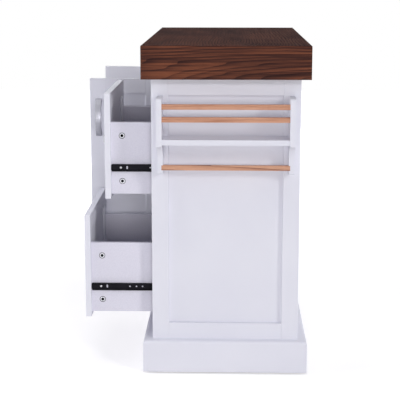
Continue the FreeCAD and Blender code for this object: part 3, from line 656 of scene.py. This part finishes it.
def roundedSection(halfWidth, halfDepth, radius, steps):
    # A rounded rectangle: each quarter of the circle stands on its own corner.
    quarter = np.linspace(0, math.pi / 2, steps)
    angle = (quarter[None] + np.arange(4)[:, None] * math.pi / 2).ravel()
    cornerX = np.repeat([1, -1, -1, 1], steps)
    cornerY = np.repeat([1, 1, -1, -1], steps)
    wide = cornerX * (halfWidth - radius) + radius * np.cos(angle)
    deep = cornerY * (halfDepth - radius) + radius * np.sin(angle)
    return wide, deep


def archedPull(length, width, reach, look=pullLook):
    # Along the strip the outer face follows one arc and the inner face another, which ends at
    # the flat feet. Across it the section is a rounded rectangle between the two faces.
    half = length / 2
    turn = np.linspace(-math.pi / 2, math.pi / 2, look["stations"])
    along = half * np.sin(turn)
    outer = archHeight(along, half, reach, look["strip"])
    inner = np.maximum(archHeight(along, half - look["foot"], reach - look["strip"]), 0)
    inner = np.where(np.abs(along) < half - look["foot"], inner, 0)
    middle, halfDepth = (outer + inner) / 2, (outer - inner) / 2
    radius = look["edgeRadius"]
    wide, deep = roundedSection(width / 2, 1.0, radius, look["cornerSteps"])
    side = np.sign(deep)
    inset = 1.0 - np.abs(deep)
    depth = middle[:, None] + side * (halfDepth[:, None] - inset)
    across = np.broadcast_to(wide, depth.shape)
    points = np.stack([np.broadcast_to(along[:, None], depth.shape), across, depth], -1)
    caps = points[[0, -1]].mean(1, keepdims=True) * np.ones((1, points.shape[1], 1))
    points = np.concatenate([caps[:1], points, caps[1:]])
    return points.reshape(-1, 3), gridQuads(len(points), points.shape[1])


def addPull(part, joint=None):
    # A pull takes its place and size from its node. It is built shut and turned with its door.
    turn = shutTurn(joint) if joint else Matrix.Identity(4)
    low, high = nodeBox(part + "_pull", turn if joint else None)
    size = high - low
    upright = size.z > size.x
    points, quads = archedPull(max(size.x, size.z), min(size.x, size.z), size.y)
    spot = Vector(((low.x + high.x) / 2, high.y, (low.z + high.z) / 2))
    lengthAxis = Vector((0, 0, 1)) if upright else Vector((1, 0, 0))
    shutFrame = frameAt(spot, lengthAxis, Vector((0, -1, 0)))
    points, quads = manyCopies(points, quads, [turn @ shutFrame])
    piece = addPiece(part + "_arched_pull", points, quads, part, metals["satinNickel"])
    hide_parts(part + "_pull")
    reach = max(size.x, size.z) / 2 - pullLook["screwInset"]
    behind = Vector((0, pullLook["frontThickness"][part.split("_")[1]], 0))
    return [turn, spot + behind + lengthAxis * reach, spot + behind - lengthAxis * reach]


# Screw heads and cam locks.

screwLooks = {
    "pan": {
        "radius": 0.0033, "height": 0.0019, "edge": 0.0006,
        "socket": 0.0019, "slot": 0.00045, "depth": 0.0010,
    },
    "flush": {
        "radius": 0.0017, "height": 0.0006, "edge": 0.0005,
        "socket": 0.0010, "slot": 0.00024, "depth": 0.0003,
    },
    "bolt": {
        "radius": 0.0048, "height": 0.0026, "edge": 0.0012,
        "socket": 0.0026, "slot": 0.0006, "depth": 0.0014,
    },
}


def screwHead(look, rings=9, sides=32):
    # Rows go from the middle of the underside over the rim to the top. The dome is a quarter of
    # an ellipse, and a cross is pressed into it where either coordinate is within half a slot.
    share = np.linspace(1, 0, rings)
    radii = np.concatenate([[0, 1], share]) * look["radius"]
    dome = look["edge"] + (look["height"] - look["edge"]) * np.sqrt(1 - share ** 2)
    heights = np.concatenate([[0, 0], dome])
    angle = np.arange(sides) * 2 * math.pi / sides
    x, y = radii[:, None] * np.cos(angle), radii[:, None] * np.sin(angle)
    z = np.broadcast_to(heights[:, None], x.shape).copy()
    near, far = np.minimum(abs(x), abs(y)), np.maximum(abs(x), abs(y))
    pressed = (near < look["slot"]) & (far < look["socket"])
    pressed[:3] = False
    z = z - pressed * look["depth"]
    return np.stack([x, y, z], -1).reshape(-1, 3), gridQuads(len(radii), sides)


def addScrews(name, kind, frames, body):
    points, quads = manyCopies(*screwHead(screwLooks[kind]), frames)
    addPiece(name, points, quads, body, metals["screwSteel"])


camLook = {
    "rim": 0.0085,
    "body": 0.0075,
    "height": 0.0006,
    "socket": 0.0041,
    "socketDepth": 0.0045,
    "hollow": 0.0004,
    "bevel": 0.0003,
    "ringMiddle": 0.0006,
    "ringWidth": 0.0014,
    "land": 0.0008,
    "lip": 0.0002,
    "taper": 0.98,
    "socketRow": 8,
    "sides": 48,
    # The dark and groove colours are painted shade for the socket and the hollow ring.
    "dark": screenColour(5, 5, 7),
    "groove": screenColour(14, 14, 18),
    "metal": screenColour(236, 236, 242),
    "worn": screenColour(214, 214, 222),
    "castScale": 900.0,
    "wornSpread": (0.35, 0.7),
    "socketShare": 1.02,
    "grooveMiddle": 0.94,
    "grooveHalf": 0.11,
    "metallic": 0.25,
    "roughness": (0.4, 0.6),
    "castHeight": 0.00005,
}


def camFace(look=camLook):
    # A round cap: a soft rim, a shallow hollow ring, and a six-sided socket in the middle. Rows go
    # from the middle of the underside over the rim to the socket's floor. The UV map holds the
    # distance from the middle as a share of the rim, and 1 beside it for the socket's inside.
    rim, body, socket, top = look["rim"], look["body"], look["socket"], look["height"]
    radii = np.array([
        0, rim, rim, rim - look["bevel"], body, body - look["ringMiddle"], body - look["ringWidth"],
        socket + look["land"], socket, socket * look["taper"], 0,
    ])
    heights = np.array([
        0, 0, top * 0.5, top, top, top - look["hollow"], top,
        top, top - look["lip"], -look["socketDepth"], -look["socketDepth"],
    ])
    angle = np.arange(look["sides"]) * 2 * math.pi / look["sides"]
    sixth = math.pi / 3
    flat = math.cos(sixth / 2) / np.cos((angle % sixth) - sixth / 2)
    row = np.arange(len(radii))[:, None]
    radius = radii[:, None] * np.where(row >= look["socketRow"], flat, 1.0)
    z = np.broadcast_to(heights[:, None], radius.shape)
    points = np.stack([radius * np.cos(angle), radius * np.sin(angle), z], -1)
    inside = np.broadcast_to(row > look["socketRow"], radius.shape)
    share = np.stack([radius / rim, inside], -1)
    return points.reshape(-1, 3), gridQuads(len(radii), look["sides"]), share.reshape(-1, 2)


def camFinish(look=camLook):
    # Dull cast zinc. The groove and the socket, told by the UV map, are painted near black: painted shade
    # in these hollows.
    recipe = newRecipe("camFace")
    uv = recipe.add("ShaderNodeTexCoord", output=2)
    share = recipe.add("ShaderNodeSeparateXYZ", None, {0: uv}, output=0)
    spot = recipe.place()
    cast = recipe.noise(*spot, look["castScale"], detail=3, roughness=0.6)
    inSocket = share.math("LESS_THAN", look["socket"] / look["rim"] * look["socketShare"])
    inGroove = abs(share - look["grooveMiddle"]).math("LESS_THAN", look["grooveHalf"])
    zinc = recipe.blend(recipe.spread(cast, *look["wornSpread"]), look["metal"], look["worn"])
    colour = recipe.blend(inSocket, recipe.blend(inGroove, zinc, look["groove"]), look["dark"])
    shader = recipe.add("ShaderNodeBsdfPrincipled", None, {
        "Base Color": colour,
        "Metallic": look["metallic"] * (1 - inSocket) * (1 - inGroove),
        "Specular IOR Level": 0.0,
        "Roughness": recipe.spread(cast, *noiseReach, *look["roughness"]),
        "Normal": recipe.bump(cast, look["castHeight"]),
    })
    return recipe.finish(shader)


camNumbers = {"inset": 0.031, "rise": 0.0355, "drop": 0.0375}


def addCamLocks(drawer, finish):
    # Caps on both drawer sides, one low and one high, a little behind the drawer front.
    low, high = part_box(drawer + "_sides")
    y = low.y + camNumbers["inset"]
    frames = []
    for x, outward in ((low.x, -1), (high.x, 1)):
        for z in (low.z + camNumbers["rise"], high.z - camNumbers["drop"]):
            frames.append(outwardFrame((x, y, z), (outward, 0, 0)))
    points, quads, share = camFace()
    placed, allQuads = manyCopies(points, quads, frames)
    piece = addPiece(drawer + "_cam_caps", placed, allQuads, drawer, finish,
                     np.tile(share, (len(frames), 1)))
    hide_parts(drawer + "_cam_locks")


slideNumbers = {"sheet": 0.0012, "frontHole": 0.027, "rearHoles": (0.050, 0.110)}


def addSlideScrews(drawer):
    # Pan heads hold the drawer members: one near the front and two near the back on each side.
    low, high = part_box(drawer + "_sides")
    along = [low.y + slideNumbers["frontHole"]] + [high.y - back for back in slideNumbers["rearHoles"]]
    railLow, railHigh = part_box(drawer + "_runners")
    z = (railLow.z + railHigh.z) / 2
    frames = []
    for x, outward in ((low.x - slideNumbers["sheet"], -1), (high.x + slideNumbers["sheet"], 1)):
        frames += [outwardFrame((x, y, z), (outward, 0, 0)) for y in along]
    addScrews(drawer + "_slide_screws", "pan", frames, drawer)


hingeNumbers = {
    "length": 0.060, "holeEnd": 0.009, "holeInset": 0.0055, "leafGap": 0.0002, "sink": 0.00055,
}


def hingeHoles(low, high):
    # The heights of the screws of the two hinges that share a node.
    length, end = hingeNumbers["length"], hingeNumbers["holeEnd"]
    return [start + hole for start in (low, high - length) for hole in (end, length / 2, length - end)]


def addHingeScrews(door, joint, side):
    # Flush heads in both leaves. Side is the way along X from the pivot to the shut door.
    turn = shutTurn(joint)
    low, high = nodeBox(door + "_hinge_leaves", turn)
    pivot = jointSpec(joint)["pos_m"][0]
    y = high.y - hingeNumbers["holeInset"]
    gap = hingeNumbers["leafGap"] + hingeNumbers["sink"]
    heights = hingeHoles(low.z, high.z)
    onDoor = [turn @ outwardFrame((pivot + side * gap, y, z), (-side, 0, 0)) for z in heights]
    onFrame = [outwardFrame((pivot - side * gap, y, z), (side, 0, 0)) for z in heights]
    addScrews(door + "_hinge_screws", "flush", onDoor, door)
    return onFrame


casterNumbers = {"plate": 0.064, "thickness": 0.0025, "holeInset": 0.009}


def addCasterBolts():
    # Four bolt heads under each caster plate. One node holds the four plates.
    low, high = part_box("caster_plates")
    plate = casterNumbers["plate"]
    frames = []
    for cornerX in (low.x, high.x - plate):
        for cornerY in (low.y, high.y - plate):
            for dx in (casterNumbers["holeInset"], plate - casterNumbers["holeInset"]):
                for dy in (casterNumbers["holeInset"], plate - casterNumbers["holeInset"]):
                    spot = (cornerX + dx, cornerY + dy, high.z - casterNumbers["thickness"])
                    frames.append(outwardFrame(spot, (0, 0, -1), (0, 1, 0)))
    addScrews("caster_bolts", "bolt", frames, "cabinet")


# Magnets of the door catch. Of the doors' inner faces the photograph shows only the top strip of
# the outer one, with no steel plate on it, so the doors have none.

magnetLook = {"length": 0.020, "height": 0.008, "thickness": 0.0003, "power": 8.0, "rise": 0.007}


def roundedPlate(look, sides=48):
    # A superellipse outline, |x/a|^p + |y/b|^p = 1, raised to a thin plate with a softened edge.
    angle = np.arange(sides) * 2 * math.pi / sides
    power = 2 / look["power"]
    x = look["length"] / 2 * np.sign(np.cos(angle)) * abs(np.cos(angle)) ** power
    y = look["height"] / 2 * np.sign(np.sin(angle)) * abs(np.sin(angle)) ** power
    scale = np.array([0, 1, 1, 0.98, 0])[:, None]
    z = np.array([0, 0, 0.7, 1, 1])[:, None] * look["thickness"] * np.ones_like(angle)
    return np.stack([scale * x, scale * y, z], -1).reshape(-1, 3), gridQuads(5, sides)


def addCatchMagnets():
    # One magnet for each door, side by side on the front of the catch.
    low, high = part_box("door_catch")
    middle, offset = (low.x + high.x) / 2, (high.x - low.x) / 4
    frames = [outwardFrame((middle + side * offset, low.y, low.z + magnetLook["rise"]), (0, -1, 0))
              for side in (-1, 1)]
    points, quads = manyCopies(*roundedPlate(magnetLook), frames)
    addPiece("catch_magnets", points, quads, "cabinet", metals["slideSteel"])


pullPlaces = {
    "upper_drawer": addPull("upper_drawer"),
    "lower_drawer": addPull("lower_drawer"),
    "inner_door": addPull("inner_door", "inner_door_hinge"),
    "outer_door": addPull("outer_door", "outer_door_hinge"),
}
for part, (turn, *spots) in pullPlaces.items():
    frames = [turn @ outwardFrame(spot, (0, 1, 0)) for spot in spots]
    addScrews(part + "_pull_screws", "bolt", frames, part)
print("stage: pulls")

camFaceFinish = camFinish()
for drawer in ("upper_drawer", "lower_drawer"):
    addCamLocks(drawer, camFaceFinish)
    addSlideScrews(drawer)
frameScrews = addHingeScrews("inner_door", "inner_door_hinge", -1)
frameScrews += addHingeScrews("outer_door", "outer_door_hinge", 1)
addScrews("hinge_frame_screws", "flush", frameScrews, "cabinet")
addCasterBolts()
addCatchMagnets()
print("stage: screws, cam locks and catch")


# Light, floor and camera. An even light comes from all round, a little bluer than the lamps. A low
# sun on the camera's right throws the soft shadows. The five broad lamps stand by the camera,
# above, on the drawers' side, at the plain end and behind.

lightLook = {
    "ambient": 0.32,
    "ambientTint": (0.94, 0.96, 1.08, 1.0),
    "sideSun": {"heading": 46.0, "height": 22.0, "spread": 10.0, "strength": 0.82},
    "lampTint": (1.0, 0.99, 0.975),
    "areas": [
        {"place": (3.6, 0.05, 0.76), "aim": (0.4, 0.0, 0.5), "size": (1.6, 0.7), "power": 28.0},
        {"place": (0.0, 0.0, 3.2), "aim": (0.0, 0.0, 0.45), "size": (3.0, 2.4), "power": 16.0},
        {"place": (0.3, -3.6, 1.6), "aim": (0.0, 0.0, 0.45), "size": (2.4, 1.6), "power": 70.0},
        {"place": (-4.4, 0.0, 0.9), "aim": (0.0, 0.0, 0.45), "size": (2.4, 1.2), "power": 64.0},
        {"place": (0.0, 4.2, 0.9), "aim": (0.0, 0.0, 0.45), "size": (2.4, 1.2), "power": 44.0},
    ],
    "floorColour": screenColour(234, 233, 233),
    "floorGlow": {"near": 0.4, "far": 1.0, "start": 1.1, "end": 2.5},
    "floorSize": 14.0,
}


def areaLamp(name, spec):
    lamp = bpy.data.lights.new(name, "AREA")
    lamp.shape = "RECTANGLE"
    lamp.size, lamp.size_y = spec["size"]
    lamp.energy = spec["power"]
    lamp.color = lightLook["lampTint"]
    holder = bpy.data.objects.new(name, lamp)
    holder.location = spec["place"]
    heading = Vector(spec["aim"]) - Vector(spec["place"])
    holder.rotation_euler = heading.to_track_quat("-Z", "Y").to_euler()
    holder.visible_camera = False
    bpy.context.scene.collection.objects.link(holder)


def sunLamp(name, spec):
    lamp = bpy.data.lights.new(name, "SUN")
    lamp.angle = math.radians(spec["spread"])
    lamp.energy = spec["strength"]
    lamp.color = lightLook["lampTint"]
    holder = bpy.data.objects.new(name, lamp)
    heading, height = math.radians(spec["heading"]), math.radians(spec["height"])
    level = math.cos(height)
    towards = Vector((math.cos(heading) * level, math.sin(heading) * level, math.sin(height)))
    holder.rotation_euler = (-towards).to_track_quat("-Z", "Y").to_euler()
    bpy.context.scene.collection.objects.link(holder)


def seenDirectly(recipe):
    # 1 for camera, mirror and glass rays, and 0 for the rays that only carry light.
    path = recipe.add("ShaderNodeLightPath")
    sockets = path.socket.node.outputs
    rays = [Value(recipe, sockets[name]) for name in
            ("Is Camera Ray", "Is Glossy Ray", "Is Transmission Ray")]
    return (rays[0] + rays[1] + rays[2]).math("MINIMUM", 1.0)


def paleWorld():
    recipe = Recipe(bpy.data.worlds.new("paleWorld"))
    fill = recipe.add("ShaderNodeBackground", None, {0: lightLook["ambientTint"], 1: lightLook["ambient"]})
    white = recipe.add("ShaderNodeBackground", None, {0: (1, 1, 1, 1), 1: 1.0})
    bpy.context.scene.world = recipe.finish(
        recipe.add("ShaderNodeMixShader", None, {0: seenDirectly(recipe), 1: fill, 2: white}))


def paleFloor():
    # A flat floor that glows towards the camera only. Near the object it glows so little that it
    # is just white where the lamps reach it, and keeps a soft shadow. Far away it glows fully.
    half = lightLook["floorSize"] / 2
    corners = [(-half, -half, 0), (half, -half, 0), (half, half, 0), (-half, half, 0)]
    mesh = bpy.data.meshes.new("floor")
    mesh.from_pydata(corners, [], [(0, 1, 2, 3)])
    floor = bpy.data.objects.new("floor", mesh)
    bpy.context.scene.collection.objects.link(floor)
    recipe = newRecipe("paleFloor")
    matt = recipe.add("ShaderNodeBsdfDiffuse", None, {0: lightLook["floorColour"]})
    x, y = recipe.place()[:2]
    glowLook = lightLook["floorGlow"]
    strength = recipe.spread((x * x + y * y) ** 0.5, glowLook["start"], glowLook["end"],
                             glowLook["near"], glowLook["far"])
    glow = recipe.add("ShaderNodeEmission", None, {1: seenDirectly(recipe) * strength})
    mesh.materials.append(recipe.finish(recipe.add("ShaderNodeAddShader", None, {0: matt, 1: glow})))


cameraLook = {
    "place": (3.4236, 0.1088, 1.1118),
    "heading": -1.537,  # degrees from straight along the island
    "dip": 10.477,  # degrees below level
    "roll": 0.013,  # degrees
    "lens": 100.16,
    "sensor": 36.0,
    "rise": -0.06,  # the frame's shift, as a share of its width
}


def makeCamera():
    camera = bpy.data.cameras.new("camera")
    camera.lens = cameraLook["lens"]
    camera.sensor_width = cameraLook["sensor"]
    camera.shift_y = cameraLook["rise"]
    holder = bpy.data.objects.new("camera", camera)
    heading, dip = math.radians(cameraLook["heading"]), math.radians(cameraLook["dip"])
    level = math.cos(dip)
    towards = Vector((-level * math.cos(heading), level * math.sin(heading), -math.sin(dip)))
    roll = Matrix.Rotation(math.radians(cameraLook["roll"]), 3, "Z").to_quaternion()
    holder.rotation_mode = "QUATERNION"
    holder.rotation_quaternion = towards.to_track_quat("-Z", "Y") @ roll
    holder.location = cameraLook["place"]
    bpy.context.scene.collection.objects.link(holder)
    bpy.context.scene.camera = holder


sunLamp("sideSun", lightLook["sideSun"])
for number, spec in enumerate(lightLook["areas"]):
    areaLamp("softLamp" + str(number), spec)
paleWorld()
paleFloor()
makeCamera()
bpy.context.scene.view_settings.view_transform = "Standard"
print("stage: light, floor and camera")
